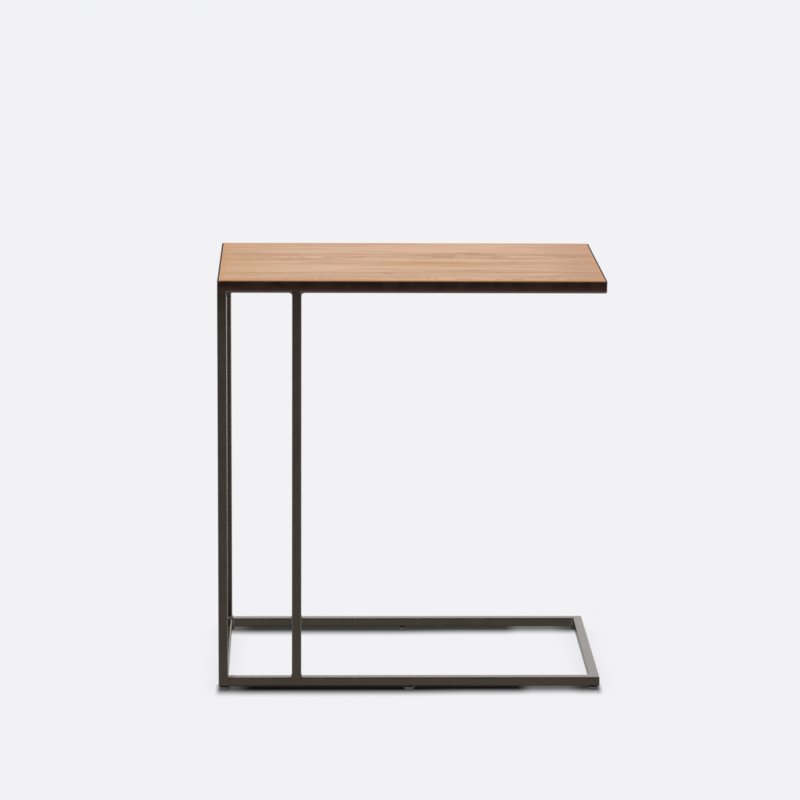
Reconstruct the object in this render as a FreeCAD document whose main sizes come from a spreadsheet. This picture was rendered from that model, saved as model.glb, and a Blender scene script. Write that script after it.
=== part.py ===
import FreeCAD, Part
import Sketcher
import math
import os

# C shaped side table: a glued board top in a mitred steel angle frame, four square-tube uprights at
# one end, a mitred square-tube base loop, and six screw-in levelling glides.
# Origin: middle of the footprint, on the floor. +X towards the open side of the C, +Y to the rear, +Z up.

doc = FreeCAD.newDocument("c_side_table")
sheet = doc.addObject("Spreadsheet::Sheet", "sizes")


# ---------------------------------------------------------------------------------------------------
# Sizes
# ---------------------------------------------------------------------------------------------------

class Size:
    """A size in mm, or a sum of sizes, with the sheet expression that gives it."""

    def __init__(self, value, text):
        self.value = value
        self.text = text

    def __add__(self, other):
        other = as_size(other)
        return Size(self.value + other.value, f"({self.text} + {other.text})")

    def __sub__(self, other):
        other = as_size(other)
        return Size(self.value - other.value, f"({self.text} - {other.text})")

    def __mul__(self, factor):
        factor = as_size(factor)
        return Size(self.value * factor.value, f"({self.text} * {factor.text})")

    def __truediv__(self, factor):
        factor = as_size(factor)
        return Size(self.value / factor.value, f"({self.text} / {factor.text})")

    def __neg__(self):
        return Size(-self.value, f"(0 - {self.text})")


def as_size(number):
    return number if isinstance(number, Size) else Size(float(number), repr(float(number)))


def size(name, number):
    """Write a driving dimension into the next row of the sheet and return it."""
    sheet_names.append(name)
    row = len(sheet_names)
    sheet.set(f"A{row}", name)
    sheet.set(f"B{row}", str(number))
    sheet.setAlias(f"B{row}", name)
    return Size(float(number), f"sizes.{name}")


sheet_names = []
ZERO = as_size(0)

# overall
overall_length = size("overall_length", 550)
overall_depth = size("overall_depth", 330)
overall_height = size("overall_height", 600)

# square tube of the uprights and the base
tube_side = size("tube_side", 13.6)
tube_wall = size("tube_wall", 1.5)
tube_corner = size("tube_corner", 2)
inner_upright_offset = size("inner_upright_offset", 105.5)

# angle frame round the top
frame_height = size("frame_height", 17.3)
frame_thickness = size("frame_thickness", 2)
frame_ledge = size("frame_ledge", 14)
frame_heel = size("frame_heel", 4)
frame_root = size("frame_root", 2)
frame_edge = size("frame_edge", 0.5)
frame_corner = size("frame_corner", 2)

# boards of the top
board_proud = size("board_proud", 1)
board_gap = size("board_gap", 0.6)
front_board_width = size("front_board_width", 68)
rear_board_width = size("rear_board_width", 106)
board_arris = size("board_arris", 1.2)
board_corner = size("board_corner", 1.8)
board_relief = size("board_relief", 1.5)

# screws up through the ledge
screw_radius = size("screw_radius", 2)
screw_reach = size("screw_reach", 12)
screw_tip = size("screw_tip", 3)
screw_tip_radius = size("screw_tip_radius", 0.5)
countersink = size("countersink", 1.6)
screw_line = size("screw_line", 8.5)
screw_end = size("screw_end", 60)
screws_per_side = 4
screw_hole_clearance = size("screw_hole_clearance", 0.3)
pilot_clearance = size("pilot_clearance", 0.05)

# weld metal
top_corner_weld = size("top_corner_weld", 7)
weld_leg = size("weld_leg", 3.4)

# levelling glides
glide_end = size("glide_end", 9)
pad_radius = size("pad_radius", 8)
pad_foot_radius = size("pad_foot_radius", 4)
pad_height = size("pad_height", 5)
pad_shoulder = size("pad_shoulder", 3.4)
pad_edge = size("pad_edge", 0.6)
button_radius = size("button_radius", 2.6)
button_height = size("button_height", 1.3)
button_clearance = size("button_clearance", 0.06)
socket_floor = size("socket_floor", 1)
socket_mouth = size("socket_mouth", 2)
neck_radius = size("neck_radius", 1.5)
collar_gap = size("collar_gap", 0.1)
collar_height = size("collar_height", 0.8)
collar_flats = size("collar_flats", 9)
stem_radius = size("stem_radius", 3)
stem_length = size("stem_length", 10.5)
stem_chamfer = size("stem_chamfer", 0.6)
stem_clearance = size("stem_clearance", 0.06)
insert_wall = size("insert_wall", 1)
insert_depth = size("insert_depth", 8)
flange_radius = size("flange_radius", 5.5)
flange_height = size("flange_height", 0.5)
insert_clearance = size("insert_clearance", 0.05)

# heights and lines that follow from the sizes
left = -overall_length / 2
right = overall_length / 2
front = -overall_depth / 2
rear = overall_depth / 2
collar_bottom = pad_height + collar_gap
collar_top = collar_bottom + collar_height
rail_bottom = collar_top + flange_height
rail_top = rail_bottom + tube_side
frame_top = overall_height - board_proud
frame_bottom = frame_top - frame_height
board_bottom = frame_bottom + frame_thickness
board_inset = frame_thickness + board_gap
tube_flat = tube_side - tube_corner * 2
insert_radius = stem_radius + stem_clearance + insert_wall
screw_hole_radius = screw_radius + screw_hole_clearance
screw_pitch = (overall_length - screw_end * 2) / (screws_per_side - 1)
cut_margin = tube_side


# ---------------------------------------------------------------------------------------------------
# Building blocks
# ---------------------------------------------------------------------------------------------------

def new_body(name, x=ZERO, y=ZERO, z=ZERO, turn=0, compound=False):
    """A body at a place given by sizes, turned about Z by a whole number of degrees."""
    body = doc.addObject("PartDesign::Body", name)
    body.Label = name
    body.AllowCompound = compound
    body.Placement.Rotation = FreeCAD.Rotation(FreeCAD.Vector(0, 0, 1), turn)
    for axis, place in (("x", x), ("y", y), ("z", z)):
        body.setExpression(f"Placement.Base.{axis}", place.text)
    return body


def new_sketch(body, name, plane, offset=ZERO):
    """A sketch on one of the body's own origin planes, moved off it by offset along its normal."""
    sketch = body.newObject("Sketcher::SketchObject", name)
    for feature in body.Origin.OriginFeatures:
        if feature.Role == plane:
            sketch.AttachmentSupport = [(feature, "")]
    sketch.MapMode = "FlatFace"
    if offset is not ZERO:
        sketch.setExpression("AttachmentOffset.Base.z", offset.text)
    return sketch


def hold(sketch, kind, edge, end, place):
    """Fix one coordinate of an edge's end: kind is DistanceX or DistanceY from the sketch's origin."""
    index = sketch.addConstraint(Sketcher.Constraint(kind, -1, 1, edge, end, place.value))
    sketch.setExpression(f"Constraints[{index}]", place.text)


def arc_between(start, end, radius, turn):
    """The short arc from start to end, anticlockwise for turn 1 and clockwise for turn -1."""
    chord = end - start
    across = FreeCAD.Vector(-chord.y, chord.x, 0).normalize() * turn
    rise = math.sqrt(max(radius**2 - (chord.Length / 2) ** 2, 0))
    centre = (start + end) / 2 + across * rise
    first, last = (start, end) if turn > 0 else (end, start)
    first_angle = math.atan2(first.y - centre.y, first.x - centre.x)
    last_angle = math.atan2(last.y - centre.y, last.x - centre.x)
    if last_angle <= first_angle:
        last_angle += 2 * math.pi
    circle = Part.Circle(centre, FreeCAD.Vector(0, 0, 1), radius)
    return Part.ArcOfCircle(circle, first_angle, last_angle)


def outline(sketch, corners):
    """Draw a closed outline. A corner is (x, y), or (x, y, radius, turn) where an arc leaves it."""
    points = [FreeCAD.Vector(corner[0].value, corner[1].value, 0) for corner in corners]
    edges = []
    for number, corner in enumerate(corners):
        start = points[number]
        end = points[(number + 1) % len(points)]
        if len(corner) == 2:
            edge = sketch.addGeometry(Part.LineSegment(start, end))
            edges.append((edge, 1, 2))
        else:
            radius, turn = corner[2:]
            edge = sketch.addGeometry(arc_between(start, end, radius.value, turn))
            edges.append((edge, 1, 2) if turn > 0 else (edge, 2, 1))
    for number, (edge, start, end) in enumerate(edges):
        next_edge, next_start, next_end = edges[(number + 1) % len(edges)]
        sketch.addConstraint(Sketcher.Constraint("Coincident", edge, end, next_edge, next_start))
        corner = corners[number]
        hold(sketch, "DistanceX", edge, start, corner[0])
        hold(sketch, "DistanceY", edge, start, corner[1])
        if len(corner) > 2:
            index = sketch.addConstraint(Sketcher.Constraint("Radius", edge, corner[2].value))
            sketch.setExpression(f"Constraints[{index}]", corner[2].text)


def rounded_square(sketch, low, high, radius):
    """A square from (low, low) to (high, high) with rounded corners."""
    near = low + radius
    far = high - radius
    outline(sketch, [
        (near, low), (far, low, radius, 1),
        (high, near), (high, far, radius, 1),
        (far, high), (near, high, radius, 1),
        (low, far), (low, near, radius, 1),
    ])


def circle(sketch, x, y, radius):
    edge = sketch.addGeometry(Part.Circle(FreeCAD.Vector(x.value, y.value, 0), FreeCAD.Vector(0, 0, 1),
                                          radius.value))
    hold(sketch, "DistanceX", edge, 3, x)
    hold(sketch, "DistanceY", edge, 3, y)
    index = sketch.addConstraint(Sketcher.Constraint("Radius", edge, radius.value))
    sketch.setExpression(f"Constraints[{index}]", radius.text)


def spandrel(sketch, x, y, side_x, side_y, radius):
    """The three-cornered outline of a fillet: a right angle at (x, y) closed by a hollow arc."""
    step_x = radius * side_x
    step_y = radius * side_y
    outline(sketch, [
        (x, y),
        (x + step_x, y, radius, -side_x * side_y),
        (x, y + step_y),
    ])


def pad(body, name, sketch, length, reversed_way=False):
    feature = body.newObject("PartDesign::Pad", name)
    feature.Profile = sketch
    feature.Reversed = reversed_way
    feature.setExpression("Length", length.text)
    doc.recompute()
    return feature


def pocket(body, name, sketch, depth, reversed_way=False):
    """Cut a sketch into the body to a depth, or right through both ways where depth is None."""
    before = body.Shape.Volume
    feature = body.newObject("PartDesign::Pocket", name)
    feature.Profile = sketch
    if depth is None:
        feature.Type = "ThroughAll"
        feature.Midplane = True
    else:
        feature.Reversed = reversed_way
        feature.setExpression("Length", depth.text)
    doc.recompute()
    if body.Shape.Volume >= before:
        raise RuntimeError(f"{body.Label}: {name} cuts nothing")
    return feature


def revolve(body, name, sketch):
    feature = body.newObject("PartDesign::Revolution", name)
    feature.Profile = sketch
    feature.ReferenceAxis = (sketch, ["V_Axis"])
    feature.Angle = 360
    doc.recompute()
    return feature


def dress(body, kind, name, amount, wanted):
    """Fillet or chamfer the edges of the body's last feature that pass a test."""
    base = body.Tip
    names = [f"Edge{number}" for number, edge in enumerate(base.Shape.Edges, 1) if wanted(edge)]
    if not names:
        raise RuntimeError(f"{body.Label}: {name} finds no edge")
    feature = body.newObject(f"PartDesign::{kind}", name)
    feature.Base = (base, names)
    feature.setExpression("Radius" if kind == "Fillet" else "Size", amount.text)
    doc.recompute()
    return feature


def at(value, target):
    return abs(value - target.value) < 1e-6


# ---------------------------------------------------------------------------------------------------
# Mitred lengths: local X runs along the piece, local Y inwards from its outer face
# ---------------------------------------------------------------------------------------------------

def mitre_both_ends(body, length, corner_radius):
    """Cut both ends at 45 degrees and round the standing corner where two lengths meet."""
    sketch = new_sketch(body, f"{body.Label}_mitre_plan", "XY_Plane")
    on_mitre = corner_radius * (1 - math.sqrt(0.5))
    for end, way in ((ZERO, 1), (length, -1)):
        outline(sketch, [
            (end + corner_radius * way, -cut_margin),
            (end + corner_radius * way, ZERO, corner_radius, -way),
            (end + on_mitre * way, on_mitre),
            (end + (tube_side + cut_margin) * way, tube_side + cut_margin),
            (end - cut_margin * way, tube_side + cut_margin),
            (end - cut_margin * way, -cut_margin),
        ])
    pocket(body, f"{body.Label}_mitre", sketch, None)


def make_rail(name, x, y, turn, length, hole_along, hole_across, middle_hole):
    """A mitred length of square tube with holes for the glide inserts in its lower wall."""
    body = new_body(name, x, y, rail_bottom, turn)
    section = new_sketch(body, f"{name}_section", "YZ_Plane")
    rounded_square(section, ZERO, tube_side, tube_corner)
    rounded_square(section, tube_wall, tube_side - tube_wall, tube_corner - tube_wall)
    pad(body, f"{name}_tube", section, length)
    mitre_both_ends(body, length, tube_corner)
    holes = new_sketch(body, f"{name}_hole_plan", "XY_Plane")
    centres = [hole_along, length - hole_along]
    if middle_hole:
        centres.append(length / 2)
    for centre in centres:
        circle(holes, centre, hole_across, insert_radius + insert_clearance)
    pocket(body, f"{name}_holes", holes, tube_wall, True)


def make_angle(name, x, y, turn, length, screw_centres):
    """A mitred length of steel angle, rounded at the heel, with countersunk screw holes in its ledge."""
    body = new_body(name, x, y, frame_bottom, turn)
    section = new_sketch(body, f"{name}_section", "YZ_Plane")
    outline(section, [
        (frame_heel, ZERO),
        (frame_ledge, ZERO),
        (frame_ledge, frame_thickness - frame_edge, frame_edge, 1),
        (frame_ledge - frame_edge, frame_thickness),
        (frame_thickness + frame_root, frame_thickness, frame_root, -1),
        (frame_thickness, frame_thickness + frame_root),
        (frame_thickness, frame_height - frame_edge, frame_edge, 1),
        (frame_thickness - frame_edge, frame_height),
        (frame_edge, frame_height, frame_edge, 1),
        (ZERO, frame_height - frame_edge),
        (ZERO, frame_heel, frame_heel, 1),
    ])
    pad(body, f"{name}_bar", section, length)
    mitre_both_ends(body, length, frame_corner)
    holes = new_sketch(body, f"{name}_hole_plan", "XY_Plane")
    for centre in screw_centres:
        circle(holes, centre, screw_line, screw_hole_radius)
    pocket(body, f"{name}_holes", holes, frame_thickness, True)
    dress(body, "Chamfer", f"{name}_countersinks", countersink,
          lambda edge: edge.Curve.TypeId == "Part::GeomCircle" and at(edge.BoundBox.ZMax, ZERO))


long_side_screws = [screw_end + screw_pitch * number for number in range(screws_per_side)]
rail_middle = tube_side / 2

for label, x, y, turn, length, is_long in (
    ("front", left, front, 0, overall_length, True),
    ("right", right, front, 90, overall_depth, False),
    ("rear", right, rear, 180, overall_length, True),
    ("left", left, rear, 270, overall_depth, False),
):
    if is_long:
        make_rail(f"base_rail_{label}", x, y, turn, length, glide_end, rail_middle, True)
        make_angle(f"top_angle_{label}", x, y, turn, length, long_side_screws)
    else:
        make_rail(f"base_rail_{label}", x, y, turn, length, rail_middle, glide_end, False)
        make_angle(f"top_angle_{label}", x, y, turn, length, [overall_depth / 2])


# ---------------------------------------------------------------------------------------------------
# Uprights, standing on the base loop with their outer faces flush with it
# ---------------------------------------------------------------------------------------------------

def make_upright(name, x, y):
    body = new_body(name, x, y, rail_top)
    section = new_sketch(body, f"{name}_section", "XY_Plane")
    rounded_square(section, ZERO, tube_side, tube_corner)
    rounded_square(section, tube_wall, tube_side - tube_wall, tube_corner - tube_wall)
    pad(body, f"{name}_tube", section, frame_bottom - rail_top)


upright_places = {
    "front_corner": (left, front),
    "front_inner": (left + inner_upright_offset, front),
    "rear_corner": (left, rear - tube_side),
    "rear_inner": (left + inner_upright_offset, rear - tube_side),
}
for label, (x, y) in upright_places.items():
    make_upright(f"upright_{label}", x, y)


# ---------------------------------------------------------------------------------------------------
# Weld metal
# ---------------------------------------------------------------------------------------------------

def make_side_welds(name, y):
    """Fillets beside the two uprights of the front or rear plane, under the frame and on the rail."""
    body = new_body(name, ZERO, y, ZERO, compound=True)
    sketch = new_sketch(body, f"{name}_plan", "XZ_Plane")
    corner_face = left + tube_side
    inner_face = left + inner_upright_offset
    spandrel(sketch, corner_face, frame_bottom, 1, -1, top_corner_weld)
    spandrel(sketch, corner_face, rail_top, 1, 1, weld_leg)
    for level, way in ((frame_bottom, -1), (rail_top, 1)):
        spandrel(sketch, inner_face, level, -1, way, weld_leg)
        spandrel(sketch, inner_face + tube_side, level, 1, way, weld_leg)
    pad(body, f"{name}_beads", sketch, tube_flat, True)


def make_left_welds():
    """Fillets beside the corner uprights in the plane of the closed end."""
    body = new_body("welds_left", left + tube_corner, ZERO, ZERO, compound=True)
    sketch = new_sketch(body, "welds_left_plan", "YZ_Plane")
    for face, way in ((front + tube_side, 1), (rear - tube_side, -1)):
        spandrel(sketch, face, frame_bottom, way, -1, top_corner_weld)
        spandrel(sketch, face, rail_top, way, 1, weld_leg)
    pad(body, "welds_left_beads", sketch, tube_flat)


def make_base_welds():
    """Upright fillets in the four inner corners of the base loop."""
    body = new_body("welds_base", ZERO, ZERO, rail_bottom + tube_corner, compound=True)
    sketch = new_sketch(body, "welds_base_plan", "XY_Plane")
    for x, way_x in ((left + tube_side, 1), (right - tube_side, -1)):
        for y, way_y in ((front + tube_side, 1), (rear - tube_side, -1)):
            spandrel(sketch, x, y, way_x, way_y, weld_leg)
    pad(body, "welds_base_beads", sketch, tube_flat)


def make_weld_fills():
    """Weld ground flush where an upright crosses a rounded edge of the frame or of a rail."""
    body = new_body("weld_fills", compound=True)
    fill_length = tube_side - frame_heel - tube_corner
    for label, x in (("corner", left), ("inner", left + inner_upright_offset)):
        sketch = new_sketch(body, f"weld_fills_{label}_plan", "YZ_Plane", x + frame_heel)
        for face, way in ((front, 1), (rear, -1)):
            spandrel(sketch, face, frame_bottom, way, 1, frame_heel)
            spandrel(sketch, face, rail_top, way, -1, tube_corner)
        pad(body, f"weld_fills_{label}", sketch, fill_length)
    for label, y in (("front", front + frame_heel), ("rear", rear - frame_heel - fill_length)):
        sketch = new_sketch(body, f"weld_fills_{label}_plan", "XZ_Plane", -y)
        spandrel(sketch, left, frame_bottom, 1, 1, frame_heel)
        spandrel(sketch, left, rail_top, 1, -1, tube_corner)
        pad(body, f"weld_fills_{label}", sketch, fill_length, True)


make_side_welds("welds_front", front + tube_corner)
make_side_welds("welds_rear", rear - tube_corner - tube_flat)
make_left_welds()
make_base_welds()
make_weld_fills()


# ---------------------------------------------------------------------------------------------------
# Boards of the top, laid in the frame
# ---------------------------------------------------------------------------------------------------

def make_board(name, low_y, high_y, outer_y, screw_places):
    """One board along X. outer_y is the edge that faces the frame, or None for the middle board."""
    body = new_body(name, ZERO, ZERO, board_bottom)
    thickness = overall_height - board_bottom
    left_end = left + board_inset
    right_end = right - board_inset
    plan = new_sketch(body, f"{name}_plan", "XY_Plane")
    outline(plan, [(left_end, low_y), (right_end, low_y), (right_end, high_y), (left_end, high_y)])
    pad(body, f"{name}_blank", plan, thickness)
    pilots = new_sketch(body, f"{name}_pilot_plan", "XY_Plane")
    for x, y in screw_places:
        circle(pilots, x, y, screw_radius + pilot_clearance)
    pocket(body, f"{name}_pilots", pilots, screw_reach - frame_thickness + pilot_clearance, True)

    def on_rim(edge):
        middle = edge.CenterOfMass
        at_end = at(middle.x, left_end) or at(middle.x, right_end)
        at_side = outer_y is not None and at(middle.y, outer_y)
        rounded = outer_y is not None and edge.Curve.TypeId == "Part::GeomCircle"
        return at_end or at_side or (rounded and abs(middle.x) > right_end.value - board_corner.value)

    def stands_at_corner(edge):
        middle = edge.CenterOfMass
        upright = abs(edge.tangentAt(edge.FirstParameter).z) > 0.9
        return upright and at(middle.y, outer_y) and (at(middle.x, left_end) or at(middle.x, right_end))

    def on_level(level):
        return lambda edge: on_rim(edge) and at(edge.BoundBox.ZMin, level) and at(edge.BoundBox.ZMax, level)

    if outer_y is not None:
        dress(body, "Fillet", f"{name}_corners", board_corner, stands_at_corner)
    dress(body, "Chamfer", f"{name}_relief", board_relief, on_level(ZERO))
    dress(body, "Fillet", f"{name}_arris", board_arris, on_level(thickness))


front_edge = front + board_inset
rear_edge = rear - board_inset
front_seam = front_edge + front_board_width
rear_seam = rear_edge - rear_board_width
front_screws = [(left + along, front + screw_line) for along in long_side_screws]
rear_screws = [(left + along, rear - screw_line) for along in long_side_screws]
end_screws = [(left + screw_line, ZERO), (right - screw_line, ZERO)]
make_board("top_board_front", front_edge, front_seam, front_edge, front_screws)
make_board("top_board_middle", front_seam, rear_seam, None, end_screws)
make_board("top_board_rear", rear_seam, rear_edge, rear_edge, rear_screws)


def make_panel_screws():
    """Countersunk wood screws, all alike, flush with the underside of the ledge."""
    body = new_body("panel_screws", ZERO, ZERO, frame_bottom, compound=True)
    for number, (x, y) in enumerate(front_screws + end_screws + rear_screws, 1):
        section = new_sketch(body, f"screw_section_{number}", "XZ_Plane", -y)
        section.setExpression("AttachmentOffset.Base.x", x.text)
        outline(section, [
            (ZERO, ZERO),
            (screw_hole_radius + countersink, ZERO),
            (screw_hole_radius, countersink),
            (screw_radius, countersink),
            (screw_radius, screw_reach - screw_tip),
            (screw_tip_radius, screw_reach),
            (ZERO, screw_reach),
        ])
        revolve(body, f"screw_{number}", section)


make_panel_screws()


# ---------------------------------------------------------------------------------------------------
# Levelling glides
# ---------------------------------------------------------------------------------------------------

def make_insert(name, x, y):
    """A threaded insert with a thin flange under the rail."""
    body = new_body(name, x, y, rail_bottom)
    bore = stem_radius + stem_clearance
    section = new_sketch(body, f"{name}_section", "XZ_Plane")
    outline(section, [
        (bore, -flange_height),
        (flange_radius, -flange_height),
        (flange_radius, ZERO),
        (insert_radius, ZERO),
        (insert_radius, insert_depth),
        (bore, insert_depth),
    ])
    revolve(body, f"{name}_turned", section)


def make_stem(name, x, y):
    """The screw of a glide: button end, neck, hexagon collar and shank."""
    body = new_body(name, x, y)
    button_bottom = socket_floor + button_clearance
    button_top = button_bottom + button_height
    tip = collar_top + stem_length
    section = new_sketch(body, f"{name}_section", "XZ_Plane")
    outline(section, [
        (ZERO, button_bottom),
        (button_radius, button_bottom),
        (button_radius, button_top),
        (neck_radius, button_top),
        (neck_radius, collar_bottom),
        (stem_radius, collar_bottom),
        (stem_radius, tip - stem_chamfer),
        (stem_radius - stem_chamfer, tip),
        (ZERO, tip),
    ])
    revolve(body, f"{name}_turned", section)
    hexagon = new_sketch(body, f"{name}_collar_plan", "XY_Plane", collar_bottom)
    corner = collar_flats / math.sqrt(3)
    sixth = math.pi / 3
    outline(hexagon, [(corner * math.cos(sixth * step), corner * math.sin(sixth * step)) for step in range(6)])
    pad(body, f"{name}_collar", hexagon, collar_height)


def make_pad(name, x, y):
    """A domed pad with a lipped socket that holds the button of the stem."""
    body = new_body(name, x, y)
    socket_radius = button_radius + button_clearance
    socket_top = socket_floor + button_height + button_clearance * 2
    run = pad_radius - pad_foot_radius
    dome_radius = (run * run + pad_shoulder * pad_shoulder) / (run * 2)
    section = new_sketch(body, f"{name}_section", "XZ_Plane")
    outline(section, [
        (ZERO, ZERO),
        (pad_foot_radius, ZERO, dome_radius, 1),
        (pad_radius, pad_shoulder),
        (pad_radius, pad_height - pad_edge),
        (pad_radius - pad_edge, pad_height),
        (socket_mouth, pad_height),
        (socket_mouth, socket_top),
        (socket_radius, socket_top),
        (socket_radius, socket_floor),
        (ZERO, socket_floor),
    ])
    revolve(body, f"{name}_turned", section)


for row, y in (("front", front + rail_middle), ("rear", rear - rail_middle)):
    for column, x in (("left", left + glide_end), ("middle", ZERO), ("right", right - glide_end)):
        make_insert(f"glide_insert_{row}_{column}", x, y)
        make_stem(f"glide_stem_{row}_{column}", x, y)
        make_pad(f"glide_pad_{row}_{column}", x, y)


# ---------------------------------------------------------------------------------------------------
# Checks and export
# ---------------------------------------------------------------------------------------------------

doc.recompute()
for item in doc.Objects:
    if "Invalid" in item.State or "Error" in item.State:
        raise RuntimeError(f"{item.Label} failed: {item.State}")

bodies = [item for item in doc.Objects if item.TypeId == "PartDesign::Body"]
for body in bodies:
    if body.Shape.isNull() or not body.Shape.isValid() or not body.Shape.Solids:
        raise RuntimeError(f"{body.Label} has no sound solid")

os.makedirs("parts", exist_ok=True)
for body in bodies:
    body.Shape.exportStep(f"parts/{body.Label}.step")
    print(f"{body.Label}: {len(body.Shape.Solids)} solids, {body.Shape.Volume:.1f} mm3")
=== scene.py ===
"""Finishes and small parts of a C shaped side table: oiled boards, lacquered steel tube, weld beads,
screws and levelling glides, with the studio that they stand in."""

import math

import bmesh
import bpy
from bpy.props import FloatProperty, FloatVectorProperty, IntProperty, PointerProperty
from mathutils import Euler, Matrix, Vector


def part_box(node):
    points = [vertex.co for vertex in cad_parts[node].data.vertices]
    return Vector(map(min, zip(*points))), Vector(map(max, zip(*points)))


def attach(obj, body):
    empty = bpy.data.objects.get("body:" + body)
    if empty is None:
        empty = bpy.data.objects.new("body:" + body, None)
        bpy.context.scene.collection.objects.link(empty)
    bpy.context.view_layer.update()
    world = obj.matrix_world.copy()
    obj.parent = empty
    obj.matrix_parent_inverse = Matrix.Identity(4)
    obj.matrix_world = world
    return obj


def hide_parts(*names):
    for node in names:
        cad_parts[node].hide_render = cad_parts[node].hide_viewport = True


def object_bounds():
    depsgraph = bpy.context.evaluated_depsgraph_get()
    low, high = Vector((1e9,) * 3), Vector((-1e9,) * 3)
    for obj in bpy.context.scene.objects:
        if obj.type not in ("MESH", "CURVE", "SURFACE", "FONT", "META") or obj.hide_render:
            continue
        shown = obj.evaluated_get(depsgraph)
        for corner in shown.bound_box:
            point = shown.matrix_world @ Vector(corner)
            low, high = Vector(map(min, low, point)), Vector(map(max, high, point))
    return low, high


bl_info = {
    "name": "C Side Table",
    "version": (1, 0, 0),
    "blender": (4, 5, 0),
    "location": "View3D > Sidebar > Side Table",
    "description": "Finishes and small parts of a board-topped side table on a square-tube frame",
    "category": "Object",
}

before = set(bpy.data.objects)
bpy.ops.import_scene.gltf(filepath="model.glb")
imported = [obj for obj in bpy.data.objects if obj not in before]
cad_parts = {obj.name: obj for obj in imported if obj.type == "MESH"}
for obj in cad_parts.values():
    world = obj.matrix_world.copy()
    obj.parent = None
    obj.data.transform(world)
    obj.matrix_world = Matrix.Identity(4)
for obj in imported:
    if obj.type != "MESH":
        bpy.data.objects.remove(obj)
CAD_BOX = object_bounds()

MM = 0.001
UP = Vector((0, 0, 1))
CREASE = math.radians(32)  # edges that bend by more than this are shaded sharp
BOARDS = ("top_board_front", "top_board_middle", "top_board_rear")
BEAD_NODES = ("welds_front", "welds_rear", "welds_left", "welds_base")
UPRIGHTS = ("upright_front_corner", "upright_rear_corner", "upright_front_inner", "upright_rear_inner")


# ----------------------------------------------------------
# Settings
# ----------------------------------------------------------

def colour(name, text, default):
    return FloatVectorProperty(name=name, description=text, subtype="COLOR", size=3, min=0, max=1,
                               default=default)


def length(name, text, default):
    return FloatProperty(name=name, description=text, unit="LENGTH", default=default, precision=5)


def share(name, text, default):
    return FloatProperty(name=name, description=text, subtype="FACTOR", min=0, max=1, default=default)


def brightness(name, text, default):
    return FloatProperty(name=name, description=text, min=0, default=default)


def angle(name, text, degrees):
    return FloatProperty(name=name, description=text, subtype="ANGLE", default=math.radians(degrees))


class TableWood(bpy.types.PropertyGroup):
    """Oiled hardwood boards."""
    pale: colour("Pale wood", "Wood between the growth rings", (0.690, 0.415, 0.232))
    dark: colour("Ring wood", "Late wood of the growth rings, and knots", (0.430, 0.188, 0.068))
    pore: colour("Pores", "Open pores filled with oil", (0.250, 0.130, 0.070))
    amber: colour("Amber streaks", "Streaks rich in resin", (0.560, 0.285, 0.095))
    # Warm patches and the rim of the top take this colour; on the eased front and rear edges it is painted
    # shade.
    oiled: colour("Edges", "Eased edges and end grain, which take more oil", (0.600, 0.245, 0.072))
    # Painted highlight: a pale colour for the eased edges at the two ends.
    edge_glint: colour("Rubbed ends", "Eased edges at the two ends, rubbed pale", (0.780, 0.520, 0.340))
    seam: colour("Seams", "Glue lines between the boards", (0.260, 0.115, 0.040))
    ring_gap: length("Ring gap", "Distance between two growth rings", 5.5 * MM)
    pith_depth: length("Pith depth", "How far the middle of the tree lay below the boards", 45 * MM)
    waviness: length("Waviness", "How far the grain wanders to the side", 22 * MM)
    rim_reach: length("Rim reach", "How far the darker finish runs in from the edge of the top", 12 * MM)
    roughness: share("Roughness", "Roughness of the oiled surface", 0.46)
    ring_strength: share("Ring strength", "How much late wood shows in a growth ring", 0.26)
    flame_strength: share("Flame strength", "How much late wood shows in the flames over the pith", 0.64)
    pore_strength: share("Pore strength", "How dark the pores are", 0.50)
    knot_strength: share("Knot strength", "How dark the knot is", 0.80)


class TableSteel(bpy.types.PropertyGroup):
    """Blackened steel under clear lacquer."""
    black: colour("Blackened", "Steel where the blackening is thick", (0.073, 0.045, 0.021))
    brown: colour("Brown", "Steel where the blackening is thin", (0.117, 0.073, 0.038))
    rolled: colour("Rolled, dark", "Rolled angle where the blackening is thick", (0.080, 0.027, 0.013))
    rolled_brown: colour("Rolled, brown", "Rolled angle where the blackening is thin", (0.120, 0.054, 0.029))
    # Pale edge colour: bare steel where the blackening has come off, and a painted highlight on the rounded
    # edges.
    worn: colour("Worn", "Rounded edges, where the blackening is rubbed through", (0.460, 0.410, 0.360))
    dull: colour("Dull edge", "Sawn edge round the boards, brown with oil", (0.085, 0.046, 0.024))
    bead: colour("Weld beads", "Weld metal left as it was laid", (0.190, 0.145, 0.115))
    pale_bead: colour("Pale beads", "Weld metal where the lacquer is thin", (0.210, 0.165, 0.135))
    wear: share("Wear", "How much the rounded edges are rubbed through", 0.60)
    crown: length("Crown", "Height by which the angle's face swells between its edges", 1.4 * MM)
    roughness: share("Roughness", "Roughness of the blackened steel", 0.38)
    lacquer: share("Lacquer", "Roughness of the lacquer", 0.14)
    mottle: length("Mottle", "Size of the cloudy patches", 28 * MM)


class TableWelds(bpy.types.PropertyGroup):
    """Ripples of the weld beads."""
    ripple_gap: length("Ripple gap", "Distance between two ripples of a bead", 1.1 * MM)
    ripple_depth: length("Ripple depth", "Height of a ripple", 0.10 * MM)
    slice_gap: length("Slice", "Distance between the cuts that carry the ripples", 0.22 * MM)
    tube_corner: length("Tube corner", "Radius of the corners of the tubes and of the ground fills", 2.0 * MM)


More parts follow.
